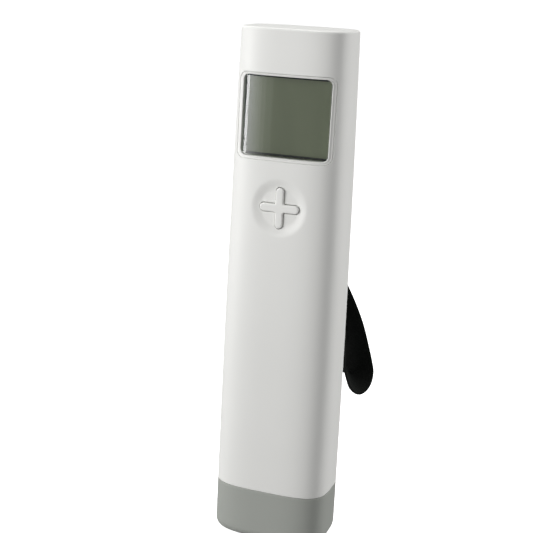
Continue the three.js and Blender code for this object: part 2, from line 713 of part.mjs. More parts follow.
add('front_shell', frontShell(), WHITE());
add('rear_cover', rearCover(), WHITE());
add('shell_gasket', shellGasket(), RUBBER());
COVER_SCREWS.forEach(
  ([x, z], i) => add(`cover_screw_${i + 1}`, screw(x, z, COVER_SEAT_Y + GAP, 9), STEEL()));

add('window_bezel', windowBezel(), WHITE());
add('window_lens', windowLens(), finish(0xcfd6d4, 0.05));
add('lcd_glass', lcdGlass(), finish(0x6d7060, 0.2));
add('lcd_frame', lcdFrame(), CHIP());
add('zebra_strip_top', zebraStrip(LENS_HIGH - 0.4), RUBBER());
add('zebra_strip_bottom', zebraStrip(LENS_LOW + 0.4), RUBBER());

add('button_cap', buttonCap(), WHITE());
add('button_membrane', buttonMembrane(), finish(0x9a9c9a, 0.8));
add('tact_switch', tactSwitch(), CHIP());

add('main_board', mainBoard(), BOARD_GREEN());
add('controller_chip', onBoardBack(0, 98, 5, 5, 1.4), CHIP());
add('amplifier_chip', onBoardBack(-7, 76, 3.2, 4.2, 1.6), CHIP());
add('clock_crystal', onBoardBack(-10.5, 98, 1.4, 3.4, 1.5), STEEL());
add('buzzer', buzzer(), CHIP());

add('battery_tray', batteryTray(), CHIP());
add('battery_left', cell(-CELL_X, 138.4, 1), finish(0x3d6f8f, 0.35));
add('battery_right', cell(CELL_X, 179.6, -1), finish(0x3d6f8f, 0.35));
add('contact_plate_top', contactPlate(183.5), STEEL());
add('contact_plate_bottom', contactPlate(134.5), STEEL());
add('contact_spring_left', contactSpring(-CELL_X, 135.1, 138.1), STEEL());
add('contact_spring_right', contactSpring(CELL_X, 179.9, 182.9), STEEL());
add('battery_door', batteryDoor(), WHITE());
add('door_gasket', doorGasket(), RUBBER());
DOOR_SCREWS.forEach((z, i) => add(`door_screw_${i + 1}`, screw(0, z, DOOR_SEAT_Y + GAP, 7.5), STEEL()));

add('strap_bar', barRod(), STEEL());
add('strap_tab', strapTab(), BLACK());
add('strap_webbing', strapWebbing(), BLACK());

add('probe_block', probeBlock(), GREY());
add('cap_seal_ring', capSealRing(), RUBBER());
const PROBE_FINISH = {
  ph_electrode: () => finish(0xcfe3e6, 0.08),
  reference_electrode: () => finish(0xe9e6dc, 0.7),
  orp_electrode: () => finish(0xc9c4b4, 0.25, 1),
  conductivity_pin_front: STEEL,
  conductivity_pin_rear: STEEL,
  temperature_probe: STEEL,
};
for (const [name, place] of Object.entries(PROBES)) {
  const body = name === 'ph_electrode' ? phElectrode(place) : probeRod(place);
  add(name, body, PROBE_FINISH[name]());
}
add('probe_board', probeBoard(), BOARD_GREEN());
add('probe_ribbon', probeRibbon(), finish(0x8c9aa3, 0.6));

export default tester;
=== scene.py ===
"""Looks of a digital water tester: a white hand-held meter on its grey storage cap.

Lengths in the geometry code are millimetres in the frame's own axes (+Z up, front towards -Y);
solid_mesh() turns them into metres. Every piece rides on the CAD body that it belongs to.
"""

import json
import math

import bmesh
import bpy
from mathutils import Matrix, Vector


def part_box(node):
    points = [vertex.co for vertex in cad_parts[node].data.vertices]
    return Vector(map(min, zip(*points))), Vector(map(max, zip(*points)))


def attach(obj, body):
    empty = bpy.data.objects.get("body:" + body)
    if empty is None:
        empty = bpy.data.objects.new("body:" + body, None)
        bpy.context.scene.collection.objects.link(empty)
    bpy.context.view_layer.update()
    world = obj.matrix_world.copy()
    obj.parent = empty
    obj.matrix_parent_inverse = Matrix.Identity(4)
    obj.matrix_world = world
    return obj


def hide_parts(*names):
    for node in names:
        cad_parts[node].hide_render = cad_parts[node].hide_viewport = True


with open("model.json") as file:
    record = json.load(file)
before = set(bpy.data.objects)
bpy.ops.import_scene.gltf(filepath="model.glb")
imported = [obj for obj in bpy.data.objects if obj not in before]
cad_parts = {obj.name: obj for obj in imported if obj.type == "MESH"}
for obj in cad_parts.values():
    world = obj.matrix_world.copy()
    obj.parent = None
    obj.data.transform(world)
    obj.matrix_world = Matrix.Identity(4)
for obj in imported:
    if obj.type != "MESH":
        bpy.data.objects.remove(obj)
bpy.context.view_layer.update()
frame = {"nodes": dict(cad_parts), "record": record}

MM = 0.001


def box_mm(node):
    """The lowest and highest corner of a CAD node, in millimetres."""
    low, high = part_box(node)
    return Vector(low) / MM, Vector(high) / MM


# ---------------------------------------------------------------- dimensions, in millimetres

HOUSING_LOW, HOUSING_HIGH = box_mm("front_shell")
SEAM_Z = HOUSING_LOW.z
HEIGHT = HOUSING_HIGH.z

# The column's section is a superellipse that tapers upwards and swells a little half way up.
HALF_WIDTH = 22.0
HALF_DEPTH = 15.0
SECTION_POWER = 3.7
TAPER = 0.09
BARREL = 0.022
SECTION_POINTS = 300
WALL = 2.0
GAP = 0.3
HAIRLINE = 0.05
PARTING_Y = HOUSING_HIGH.y
FAR = 40.0

LENS_LOW, LENS_HIGH = box_mm("window_lens")
LENS_HALF = LENS_HIGH.x
LENS_CORNER = 1.8
LENS_INSET = 0.6
BEZEL_TURN = 1.2
BEZEL_LOW, BEZEL_HIGH = box_mm("window_bezel")

BUTTON_LOW, BUTTON_HIGH = box_mm("button_cap")
BUTTON_Z = (BUTTON_LOW.z + BUTTON_HIGH.z) / 2
CROSS_REACH = 7.7
CROSS_HALF = 1.55
CROSS_FILLET = 0.5
BUTTON_ROUND = 0.55
BUTTON_RISE = 0.15
FLANGE_RADIUS = 9.2
FLANGE_THICK = 0.45
MEMBRANE_ROOM = 0.25
DISH_OUTER = 11.2
DISH_INNER = 6.8
DISH_DEPTH = 0.95

DOOR_LOW, DOOR_HIGH = box_mm("battery_door")
DOOR_CORNER = 3.0
DOOR_GAP = 0.16
NOTCH_HALF = 6.0
NOTCH_RISE = 8.5
NOTCH_AXIS_Y = 20.2

SCREW_HEAD = 1.2
SHANK_RADIUS = 0.95
WELL_RADIUS = 2.3
WELL_MOUTH = 2.75
BORE_RADIUS = 1.3
COVER_SEAT_Y = 11.4
DOOR_SEAT_Y = 13.2
PAD_RADIUS = 3.2

BAR_LOW, BAR_HIGH = box_mm("strap_bar")
BAR = (BAR_LOW + BAR_HIGH) / 2
BAR_RADIUS = (BAR_HIGH.z - BAR_LOW.z) / 2
POCKET_FLOOR_Y = 8.8
POCKET_BACK_Y = 7.2
POCKET_BELOW = 5.8
POCKET_ABOVE = 3.8
POCKET_WALL = 1.4
POCKET_SIDE_WALL = 1.5
POCKET_MOUTH = 0.6

STRAP_WIDTH = 14.0
STRAP_THICK = 1.1
TAB_LENGTH = 11.0
TAB_SLOPE = math.radians(50)
TAB_START = 3.2

SPIGOT_INSET = 2.3
GROOVE_LOW = 16.2
GROOVE_HIGH = 18.4
GROOVE_DEPTH = 1.1
CAP_ROUND = 4.0
CAP_WALL = 1.8

# The free loop's route: a place, and the way that the webbing's width points there.
LOOP_ROUTE = [
    ((6.0, 20.16, 109.76), (1, 0, 0)),
    ((6.0, 21.9, 107.7), (1, 0, 0)),
    ((7.2, 25.0, 103.2), (1, 0, 0.15)),
    ((9.6, 28.2, 96.5), (1, -0.05, 0.2)),
    ((12.8, 31.2, 88.5), (1, -0.1, 0.25)),
    ((16.0, 33.6, 80.0), (1, -0.15, 0.2)),
    ((18.5, 35.2, 71.5), (1, -0.2, 0.15)),
    ((20.1, 36.0, 64.0), (1, -0.1, 0.05)),
    ((20.9, 35.4, 59.4), (1, 0, -0.2)),
    ((21.1, 32.9, 56.9), (1, -0.05, -0.55)),
    ((20.5, 29.8, 56.8), (0.78, -0.25, -0.9)),
    ((19.2, 27.1, 59.4), (0.52, -0.55, -0.75)),
    ((17.6, 25.3, 65.0), (0.42, -0.82, -0.25)),
    ((15.3, 23.8, 73.3), (0.6, -0.7, 0)),
    ((12.7, 22.3, 83.5), (0.9, -0.5, 0.1)),
    ((9.9, 20.8, 94.0), (1, -0.2, 0.2)),
    ((7.3, 19.7, 102.0), (1, 0, 0.1)),
    ((6.0, 20.58, 107.24), (1, 0, 0)),
    ((6.0, 19.17, 108.92), (1, 0, 0)),
]


# ---------------------------------------------------------------- camera, lights and floor

LENS_MM = 79.7
AZIMUTH = math.radians(19.49)
ELEVATION = math.radians(14.37)
ROLL = math.radians(2.81)
DISTANCE = 0.45595
AIM = Vector((-0.00786, -0.00326, 0.1092))


def make_camera():
    """A view from the right and a little above, slightly rolled."""
    camera = bpy.data.objects.new("camera", bpy.data.cameras.new("camera"))
    camera.data.lens = LENS_MM
    camera.data.sensor_width = 36.0
    camera.data.clip_start = 0.02
    look = Vector((
        -math.sin(AZIMUTH) * math.cos(ELEVATION),
        math.cos(AZIMUTH) * math.cos(ELEVATION),
        -math.sin(ELEVATION),
    ))
    level = Vector((math.cos(AZIMUTH), math.sin(AZIMUTH), 0))
    upright = level.cross(look)
    right = level * math.cos(ROLL) + upright * math.sin(ROLL)
    up = upright * math.cos(ROLL) - level * math.sin(ROLL)
    place = Matrix((right, up, -look)).transposed().to_4x4()
    place.translation = AIM - look * DISTANCE
    camera.matrix_world = place
    bpy.context.scene.collection.objects.link(camera)
    bpy.context.scene.camera = camera


def soft_box(name, azimuth, distance, low, high, width, radiance):
    """An upright soft box facing the object, azimuth degrees to the right of its front.

    low and high are the heights of its edges and distance is its place on the ground, in metres.
    """
    light = bpy.data.lights.new(name, "AREA")
    light.shape = "RECTANGLE"
    light.size = width
    light.size_y = high - low
    light.energy = math.pi * width * (high - low) * radiance
    lamp = bpy.data.objects.new(name, light)
    turn = math.radians(azimuth)
    spot = Vector((math.sin(turn) * distance, -math.cos(turn) * distance, (low + high) / 2))
    lamp.location = spot
    level = Vector((0, 0, spot.z)) - spot
    lamp.rotation_euler = level.to_track_quat("-Z", "Y").to_euler()
    lamp.visible_camera = False
    bpy.context.scene.collection.objects.link(lamp)
    return lamp


def top_light(height, size, radiance):
    light = bpy.data.lights.new("top_light", "AREA")
    light.size = size
    light.energy = math.pi * size * size * radiance
    lamp = bpy.data.objects.new("top_light", light)
    lamp.location = (-0.1, 0.15, height)
    lamp.visible_camera = False
    bpy.context.scene.collection.objects.link(lamp)


def make_lights():
    """Soft boxes round the object; the strip and the panels shape the lens's reflection."""
    strip = soft_box("strip_left", -59.5, 0.5, 0.0, 0.5, 0.1, 14.0)
    strip.visible_diffuse = False
    for i in range(8):
        soft_box(f"panel_left_{i}", -51 + 4 * i, 0.6, 0.0, 0.4, 0.042, 5.2 * (1 - i / 8) ** 1.15)
    key = soft_box("key_left", -56, 0.8, 0.0, 0.4, 0.5, 4.2)
    key.visible_glossy = False
    soft_box("side_left", -105, 0.8, 0.0, 0.6, 0.5, 0.7)
    soft_box("fill_right", 30, 0.9, 0.4, 0.9, 0.5, 0.5)
    low_fill = soft_box("fill_low", 26, 0.7, 0.0, 0.2, 0.5, 1.7)
    low_fill.visible_glossy = False
    rim = soft_box("rim_right", 128, 0.7, 0.0, 0.25, 0.4, 9.0)
    rim.visible_glossy = False
    top_light(0.95, 0.7, 3.6)


def make_world():
    """White where the camera looks past the floor, a dim fill for everything else."""
    world = bpy.data.worlds.new("studio")
    bpy.context.scene.world = world
    world.use_nodes = True
    nodes = world.node_tree.nodes
    links = world.node_tree.links
    nodes.clear()
    output = nodes.new("ShaderNodeOutputWorld")
    mix = nodes.new("ShaderNodeMixShader")
    ray = nodes.new("ShaderNodeLightPath")
    fill = nodes.new("ShaderNodeBackground")
    fill.inputs["Strength"].default_value = 0.25
    backdrop = nodes.new("ShaderNodeBackground")
    backdrop.inputs["Color"].default_value = (1, 1, 1, 1)
    backdrop.inputs["Strength"].default_value = 1.0
    links.new(ray.outputs["Is Camera Ray"], mix.inputs["Fac"])
    links.new(fill.outputs[0], mix.inputs[1])
    links.new(backdrop.outputs[0], mix.inputs[2])
    links.new(mix.outputs[0], output.inputs["Surface"])


def make_floor():
    """A wide plain white floor that lights nothing."""
    bpy.ops.mesh.primitive_plane_add(size=30, location=(0, 0, -0.0002))
    floor = bpy.context.object
    floor.name = "floor"
    floor.visible_diffuse = False
    floor.visible_glossy = False
    paint = Finish("floor_paint", (0.9, 0.9, 0.9), 0.9)
    paint.paint(paint.noise(3, 2), 0.02)
    paint.shader.inputs["Specular IOR Level"].default_value = 0.0
    paint.shader.inputs["Emission Color"].default_value = (1, 1, 1, 1)
    paint.shader.inputs["Emission Strength"].default_value = 0.92
    floor.data.materials.append(paint.material)


# ---------------------------------------------------------------- materials


class Finish:
    """A material and its main shader, with short ways to add procedural detail."""

    def __init__(self, name, color, roughness, metallic=0.0):
        self.material = bpy.data.materials.new(name)
        self.material.use_nodes = True
        self.nodes = self.material.node_tree.nodes
        self.links = self.material.node_tree.links
        self.shader = self.nodes["Principled BSDF"]
        self.shader.inputs["Base Color"].default_value = (*color, 1)
        self.shader.inputs["Roughness"].default_value = roughness
        self.shader.inputs["Metallic"].default_value = metallic
        self.color = color
        self.coordinates = self.nodes.new("ShaderNodeTexCoord").outputs["Object"]

    def noise(self, scale, detail=2.0, stretch=(1, 1, 1)):
        """A noise pattern; scale counts its features per metre."""
        mapping = self.nodes.new("ShaderNodeMapping")
        mapping.inputs["Scale"].default_value = stretch
        self.links.new(self.coordinates, mapping.inputs["Vector"])
        pattern = self.nodes.new("ShaderNodeTexNoise")
        pattern.inputs["Scale"].default_value = scale
        pattern.inputs["Detail"].default_value = detail
        self.links.new(mapping.outputs[0], pattern.inputs["Vector"])
        return pattern.outputs["Fac"]

    def cells(self, scale, feature="F1"):
        pattern = self.nodes.new("ShaderNodeTexVoronoi")
        pattern.feature = feature
        pattern.inputs["Scale"].default_value = scale
        self.links.new(self.coordinates, pattern.inputs["Vector"])
        return pattern.outputs["Distance"]

    def ramp(self, factor, low, high, start=0.3, end=0.7):
        """A colour ramp between two colours."""
        ramp = self.nodes.new("ShaderNodeValToRGB")
        ramp.color_ramp.elements[0].position = start
        ramp.color_ramp.elements[1].position = end
        ramp.color_ramp.elements[0].color = (*low, 1)
        ramp.color_ramp.elements[1].color = (*high, 1)
        self.links.new(factor, ramp.inputs["Fac"])
        return ramp.outputs["Color"]

    def paint(self, factor, spread, start=0.3, end=0.7):
        """The base colour, varied by a share of itself."""
        low = tuple(c * (1 - spread) for c in self.color)
        high = tuple(min(1, c * (1 + spread)) for c in self.color)
        self.links.new(self.ramp(factor, low, high, start, end), self.shader.inputs["Base Color"])

    def rough(self, factor, low, high):
        spread = self.nodes.new("ShaderNodeMapRange")
        spread.inputs["To Min"].default_value = low
        spread.inputs["To Max"].default_value = high
        self.links.new(factor, spread.inputs["Value"])
        self.links.new(spread.outputs["Result"], self.shader.inputs["Roughness"])

    def bump(self, height, depth_mm, strength=1.0):
        bump = self.nodes.new("ShaderNodeBump")
        bump.inputs["Strength"].default_value = strength
        bump.inputs["Distance"].default_value = depth_mm * MM
        self.links.new(height, bump.inputs["Height"])
        self.links.new(bump.outputs["Normal"], self.shader.inputs["Normal"])

    def attribute(self, name):
        node = self.nodes.new("ShaderNodeAttribute")
        node.attribute_name = name
        return node.outputs["Fac"]

    def maths(self, operation, *values):
        node = self.nodes.new("ShaderNodeMath")
        node.operation = operation
        for socket, value in zip(node.inputs, values):
            if isinstance(value, (int, float)):
                socket.default_value = value
            else:
                self.links.new(value, socket)
        return node.outputs[0]


def moulded(name, color, low=0.44, high=0.54, grain_mm=0.006):
    """Fine satin moulded plastic: a spark-eroded grain and slow changes of tone and gloss."""
    finish = Finish(name, color, low)
    finish.paint(finish.noise(18, 3), 0.012)
    finish.rough(finish.noise(60, 4), low, high)
    finish.bump(finish.noise(2600, 3), grain_mm)
    finish.shader.inputs["Specular IOR Level"].default_value = 0.35
    return finish.material


def clear_sheet(name):
    """Thin clear acrylic: see-through, with the mirror gloss of its surface."""
    finish = Finish(name, (0.95, 0.96, 0.95), 0.03, 1.0)
    finish.rough(finish.noise(90, 3), 0.04, 0.06)
    through = finish.nodes.new("ShaderNodeBsdfTransparent")
    through.inputs["Color"].default_value = (0.93, 0.95, 0.93, 1)
    facing = finish.nodes.new("ShaderNodeLayerWeight")
    facing.inputs["Blend"].default_value = 0.5
    grazing = finish.maths("POWER", facing.outputs["Facing"], 4.0)
    share = finish.maths("MULTIPLY_ADD", grazing, 0.9, 0.045)
    mix = finish.nodes.new("ShaderNodeMixShader")
    finish.links.new(share, mix.inputs["Fac"])
    finish.links.new(through.outputs[0], mix.inputs[1])
    finish.links.new(finish.shader.outputs[0], mix.inputs[2])
    finish.links.new(mix.outputs[0], finish.nodes["Material Output"].inputs["Surface"])
    return finish.material


def lcd_cell():
    """An unpowered reflective display: olive, with faint vertical bands and a soft sheen."""
    finish = Finish("lcd_cell", (0.182, 0.192, 0.135), 0.3)
    finish.paint(finish.noise(35, 2, (2.5, 1, 0.5)), 0.1)
    finish.rough(finish.noise(400, 2), 0.26, 0.36)
    finish.shader.inputs["Coat Weight"].default_value = 0.2
    return finish.material


def webbing():
    """Black polyester webbing: fine crossing threads on top of the woven shape."""
    finish = Finish("black_webbing", (0.0035, 0.0045, 0.0035), 0.8)
    finish.shader.inputs["Specular IOR Level"].default_value = 0.2
    finish.shader.inputs["Sheen Weight"].default_value = 0.03
    finish.shader.inputs["Sheen Roughness"].default_value = 0.5
    along = finish.attribute("along_mm")
    across = finish.attribute("across_mm")
    lengthwise = finish.maths("SINE", finish.maths("MULTIPLY", across, 2 * math.pi / 0.35))
    weft = finish.maths("SINE", finish.maths("MULTIPLY", along, 2 * math.pi / 0.6))
    threads = finish.maths("ADD", finish.maths("MULTIPLY", lengthwise, 0.5), weft)
    finish.paint(finish.noise(1500, 3), 0.35)
    finish.bump(threads, 0.03, 0.6)
    return finish.material


def bright_steel():
    finish = Finish("bright_steel", (0.6, 0.61, 0.62), 0.25, 1.0)
    finish.rough(finish.noise(900, 2, (1, 1, 12)), 0.18, 0.32)
    return finish.material


def platinum():
    finish = Finish("platinum", (0.72, 0.68, 0.6), 0.16, 1.0)
    finish.rough(finish.noise(500, 2), 0.12, 0.22)
    return finish.material


def rubber(name, color, roughness):
    finish = Finish(name, color, roughness)
    finish.paint(finish.noise(200, 3), 0.12)
    finish.bump(finish.noise(1800, 2), 0.01)
    return finish.material


def circuit_board():
    """Solder mask with copper tracks showing as slightly raised paler lines."""
    finish = Finish("board_green", (0.03, 0.16, 0.07), 0.3)
    tracks = finish.nodes.new("ShaderNodeTexBrick")
    tracks.inputs["Scale"].default_value = 130
    tracks.inputs["Mortar Size"].default_value = 0.05
    finish.links.new(finish.coordinates, tracks.inputs["Vector"])
    line = tracks.outputs["Fac"]
    finish.links.new(
        finish.ramp(line, (0.02, 0.12, 0.05), (0.06, 0.24, 0.1), 0.2, 0.8),
        finish.shader.inputs["Base Color"])
    finish.bump(line, 0.03)
    return finish.material


def cell_sleeve():
    """A plain glossy blue sleeve."""
    finish = Finish("cell_wrap", (0.05, 0.15, 0.27), 0.3)
    finish.paint(finish.noise(50, 2, (1, 1, 0.1)), 0.15)
    finish.rough(finish.noise(700, 2), 0.22, 0.34)
    finish.shader.inputs["Coat Weight"].default_value = 0.5
    return finish.material


def electrode_glass():
    """Thin electrode glass over a pale inner element."""
    finish = Finish("probe_glass", (0.75, 0.86, 0.88), 0.06)
    finish.shader.inputs["Coat Weight"].default_value = 1.0
    finish.shader.inputs["Alpha"].default_value = 0.6
    finish.rough(finish.noise(250, 2), 0.03, 0.1)
    return finish.material


def sponge():
    finish = Finish("sponge", (0.72, 0.55, 0.16), 0.95)
    pores = finish.cells(1100)
    finish.links.new(
        finish.ramp(pores, (0.3, 0.2, 0.05), (0.78, 0.6, 0.2), 0.1, 0.5),
        finish.shader.inputs["Base Color"])
    finish.bump(pores, 0.4)
    return finish.material


def flat_cable():
    """Grey flat cable with its conductors showing as ribs."""
    finish = Finish("ribbon_grey", (0.35, 0.38, 0.4), 0.4)
    ribs = finish.nodes.new("ShaderNodeTexWave")
    ribs.bands_direction = "X"
    ribs.inputs["Scale"].default_value = 160
    finish.links.new(finish.coordinates, ribs.inputs["Vector"])
    finish.paint(ribs.outputs["Fac"], 0.2)
    finish.bump(ribs.outputs["Fac"], 0.1)
    return finish.material


def make_materials():
    """One material for each of the record's material slots."""
    return {
        "white_shell": moulded("white_shell", (0.86, 0.86, 0.835)),
        "bezel_white": moulded("bezel_white", (0.84, 0.84, 0.815), 0.38, 0.46, 0.003),
        "button_white": moulded("button_white", (0.88, 0.88, 0.855), 0.38, 0.46, 0.004),
        "grey_cap": moulded("grey_cap", (0.39, 0.405, 0.375), 0.42, 0.52),
        "probe_grey": moulded("probe_grey", (0.22, 0.225, 0.23), 0.4, 0.5),
        "clear_lens": clear_sheet("clear_lens"),
        "lcd_cell": lcd_cell(),
        "black_webbing": webbing(),
        "black_plastic": moulded("black_plastic", (0.02, 0.02, 0.022), 0.45, 0.6, 0.01),
        "rubber_seal": rubber("rubber_seal", (0.03, 0.03, 0.032), 0.7),
        "silicone": rubber("silicone", (0.5, 0.51, 0.5), 0.6),
        "board_green": circuit_board(),
        "bright_steel": bright_steel(),
        "cell_wrap": cell_sleeve(),
        "probe_glass": electrode_glass(),
        "ceramic": rubber("ceramic", (0.82, 0.8, 0.74), 0.85),
        "platinum": platinum(),
        "ribbon_grey": flat_cable(),
        "sponge": sponge(),
    }


# ---------------------------------------------------------------- mesh helpers


def solid_mesh(name, points, faces, sharp_deg=32):
    """A closed mesh from points in millimetres, smooth but for edges over sharp_deg."""
    mesh = bpy.data.meshes.new(name)
    mesh.from_pydata([(x * MM, y * MM, z * MM) for x, y, z in points], [], faces)
    tidy = bmesh.new()
    tidy.from_mesh(mesh)
    bmesh.ops.remove_doubles(tidy, verts=tidy.verts, dist=1e-7)
    bmesh.ops.recalc_face_normals(tidy, faces=tidy.faces)
    tidy.to_mesh(mesh)
    tidy.free()
    piece = bpy.data.objects.new(name, mesh)
    bpy.context.scene.collection.objects.link(piece)
    smooth(piece, sharp_deg)
    return piece


def smooth(piece, sharp_deg=32):
    piece.data.shade_smooth()
    piece.data.set_sharp_from_angle(angle=math.radians(sharp_deg))


def skin(name, rings, around=False, sharp_deg=32):
    """A closed mesh through rings of equally many points. around joins the last to the first."""
    count = len(rings[0])
    points = [point for ring in rings for point in ring]
    faces = []
    for level in range(len(rings) if around else len(rings) - 1):
        here = level * count
        there = (level + 1) % len(rings) * count
        for i in range(count):
            j = (i + 1) % count
            faces.append((here + i, here + j, there + j, there + i))
    if not around:
        last = (len(rings) - 1) * count
        faces.append(tuple(range(count)))
        faces.append(tuple(range(last, last + count)))
    return solid_mesh(name, points, faces, sharp_deg)


def block(name, low, high):
    """A box between two corners, as a cutting tool."""
    ring = [(low[0], low[1]), (high[0], low[1]), (high[0], high[1]), (low[0], high[1])]
    return skin(name, [[(x, y, z) for x, y in ring] for z in (low[2], high[2])])


def lathe(name, profile, centre, axis="Z", sides=64, sharp_deg=32):
    """A [radius, height] profile turned about an axis through centre; the ends lie on the axis."""
    rings = []
    for radius, height in profile:
        ring = []
        for i in range(sides):
            angle = 2 * math.pi * i / sides
            a = max(radius, 0.002) * math.cos(angle)
            b = max(radius, 0.002) * math.sin(angle)
            if axis == "Z":
                ring.append((centre[0] + a, centre[1] + b, height))
            else:
                ring.append((centre[0] + a, height, centre[1] + b))
        rings.append(ring)
    return skin(name, rings, sharp_deg=sharp_deg)


def carve(piece, tool, operation="DIFFERENCE", sharp_deg=32):
    """Cuts, joins or limits piece by a tool, which is used up."""
    modifier = piece.modifiers.new("carve", "BOOLEAN")
    modifier.object = tool
    modifier.operation = operation
    modifier.solver = "MANIFOLD"
    graph = bpy.context.evaluated_depsgraph_get()
    mesh = bpy.data.meshes.new_from_object(piece.evaluated_get(graph))
    piece.modifiers.clear()
    piece.data = mesh
    bpy.data.objects.remove(tool)
    smooth(piece, sharp_deg)


def finished(piece, body, slot, *nodes):
    """Paints a piece, lets it ride on a body and hides the CAD nodes that it stands for."""
    piece.data.materials.clear()
    piece.data.materials.append(MATERIALS[slot])
    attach(piece, body)
    if nodes:
        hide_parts(*nodes)
    return piece


# ---------------------------------------------------------------- the column's section


def section_scale(z):
    rise = (z - SEAM_Z) / (HEIGHT - SEAM_Z)
    return 1 + TAPER * (0.5 - rise) + BARREL * 4 * rise * (1 - rise)


def unit_section(count):
    """Points of the section on the unit square, evenly spaced along its outline."""
    def spot(angle):
        c, s = math.cos(angle), math.sin(angle)
        power = 2 / SECTION_POWER
        return math.copysign(abs(c) ** power, c), math.copysign(abs(s) ** power, s)

    fine = [spot(2 * math.pi * i / 20000) for i in range(20001)]
    run = [0.0]
    for (x0, y0), (x1, y1) in zip(fine, fine[1:]):
        run.append(run[-1] + math.hypot((x1 - x0) * HALF_WIDTH, (y1 - y0) * HALF_DEPTH))
    points = []
    at = 0
    for i in range(count):
        while run[at] < run[-1] * i / count:
            at += 1
        points.append(fine[at])
    return points


UNIT_SECTION = unit_section(SECTION_POINTS)


def section_ring(z, inset):
    scale = section_scale(z)
    wide, deep = HALF_WIDTH * scale - inset, HALF_DEPTH * scale - inset
    return [(wide * x, deep * y, z) for x, y in UNIT_SECTION]


def face_y(x, z, inset=0.0):
    """How far the front or back surface is from the middle plane at (x, z)."""
    scale = section_scale(z)
    share = min(1.0, abs(x) / (HALF_WIDTH * scale - inset))
    return (HALF_DEPTH * scale - inset) * (1 - share ** SECTION_POWER) ** (1 / SECTION_POWER)


def levels(low, high, step):
    count = max(1, round((high - low) / step))
    return [low + (high - low) * i / count for i in range(count + 1)]


def round_edge(radius, steps=5):
    """(drop from the end, inset) pairs of a quarter round, from the side to the end face."""
    pairs = []
    for i in range(steps + 1):
        angle = math.pi / 2 * i / steps
        pairs.append((radius * (1 - math.sin(angle)), radius * (1 - math.cos(angle))))
    return pairs


def column(name, low, high, inset, step=4.0):
    return skin(name, [section_ring(z, inset) for z in levels(low, high, step)])


# ---------------------------------------------------------------- outlines on the front and back


def rectangle(half, low, high, corner):
    """A rounded rectangle in x and z, anticlockwise, with its long sides in short steps."""
    corner = max(corner, 0.02)
    points = []
    middles = [
        (half - corner, low + corner, -90), (half - corner, high - corner, 0),
        (corner - half, high - corner, 90), (corner - half, low + corner, 180),
    ]
    for index, (x, z, start) in enumerate(middles):
        for i in range(9):
            angle = math.radians(start + 90 * i / 8)
            points.append((x + corner * math.cos(angle), z + corner * math.sin(angle)))
        x1, z1, turn = middles[(index + 1) % 4]
        begin = points[-1]
        end = (x1 + corner * math.cos(math.radians(turn)), z1 + corner * math.sin(math.radians(turn)))
        for i in range(1, 24):
            share = i / 24
            points.append((begin[0] + (end[0] - begin[0]) * share, begin[1] + (end[1] - begin[1]) * share))
    return points


def on_face(outline, inset, side=-1):
    """An outline laid on the front (side -1) or back (side 1) surface, sunk by inset."""
    return [(x, side * face_y(x, z, inset), z) for x, z in outline]


def grown(half, low, high, corner, grow):
    return rectangle(half + grow, low - grow, high + grow, corner + grow)


def opening_tool(name, half, low, high, corner, flare, side=-1):
    """A cutter for an opening with its outer edge rounded by flare, or for a panel if below 0."""
    def level_ring(y, grow):
        return [(x, side * y, z) for x, z in grown(half, low, high, corner, grow)]

    profile = [(-1.0, flare * 0.7)]
    for i in range(5):
        angle = math.radians(20 + 70 * i / 4)
        profile.append((abs(flare) * (1 - math.cos(angle)), flare * (1 - math.sin(angle))))
    rings = [level_ring(FAR, flare * 0.7)]
    rings += [on_face(grown(half, low, high, corner, grow), inset, side) for inset, grow in profile]
    rings.append(level_ring(2.0, 0.0))
    return skin(name, rings)


def cross_loop(y, grow):
    """The button's plus sign at depth y, grown outwards, with round ends and inner corners."""
    half = CROSS_HALF + grow
    inner = CROSS_FILLET - grow
    middle = CROSS_HALF + CROSS_FILLET
    points = []
    for arm in range(4):
        turn = Matrix.Rotation(arm * math.pi / 2, 2)
        spots = []
        for i in range(5):
            angle = math.pi - math.pi / 2 * i / 4
            spots.append((middle + inner * math.cos(angle), inner * math.sin(angle) - middle))
        for i in range(17):
            angle = math.pi * (i / 16 - 0.5)
            spots.append((CROSS_REACH - CROSS_HALF + half * math.cos(angle), half * math.sin(angle)))
        for spot in spots:
            x, z = turn @ Vector(spot)
            points.append((x, y, BUTTON_Z + z))
    return points


# ---------------------------------------------------------------- housing


def dish_depth(x, z):
    """How deep the finger dish is at a place on the front."""
    radius = math.hypot(x, z - BUTTON_Z)
    share = min(1.0, max(0.0, (DISH_OUTER - radius) / (DISH_OUTER - DISH_INNER)))
    return DISH_DEPTH * share * share * (3 - 2 * share)


def housing_outside():
    """The housing's outer form: fine rows where the dish and the openings are, a round top edge."""
    rows = [SEAM_Z, SEAM_Z + 0.25]
    rows += levels(SEAM_Z + 3, BUTTON_Z - 12, 3.0)
    rows += levels(BUTTON_Z - 11.5, BUTTON_Z + 11.5, 0.5)
    rows += levels(BUTTON_Z + 13, HEIGHT - 1.2, 1.5)
    rings = []
    for z in rows:
        inset = 0.2 if z == SEAM_Z else 0.0
        ring = []
        for x, y, _ in section_ring(z, inset):
            ring.append((x, y + dish_depth(x, z) if y < 0 else y, z))
        rings.append(ring)
    for drop, inset in round_edge(0.9):
        rings.append(section_ring(HEIGHT - drop, inset))
    rings += [section_ring(HEIGHT, inset) for inset in (2.0, 5.0, 9.0)]
    return skin("housing", rings)


def housing_half(name, low_y, high_y):
    half = housing_outside()
    half.name = name
    carve(half, column("hollow", SEAM_Z - 1, HEIGHT - WALL, WALL))
    carve(half, block("half", (-FAR, low_y, -1), (FAR, high_y, HEIGHT + 1)), "INTERSECT")
    return half


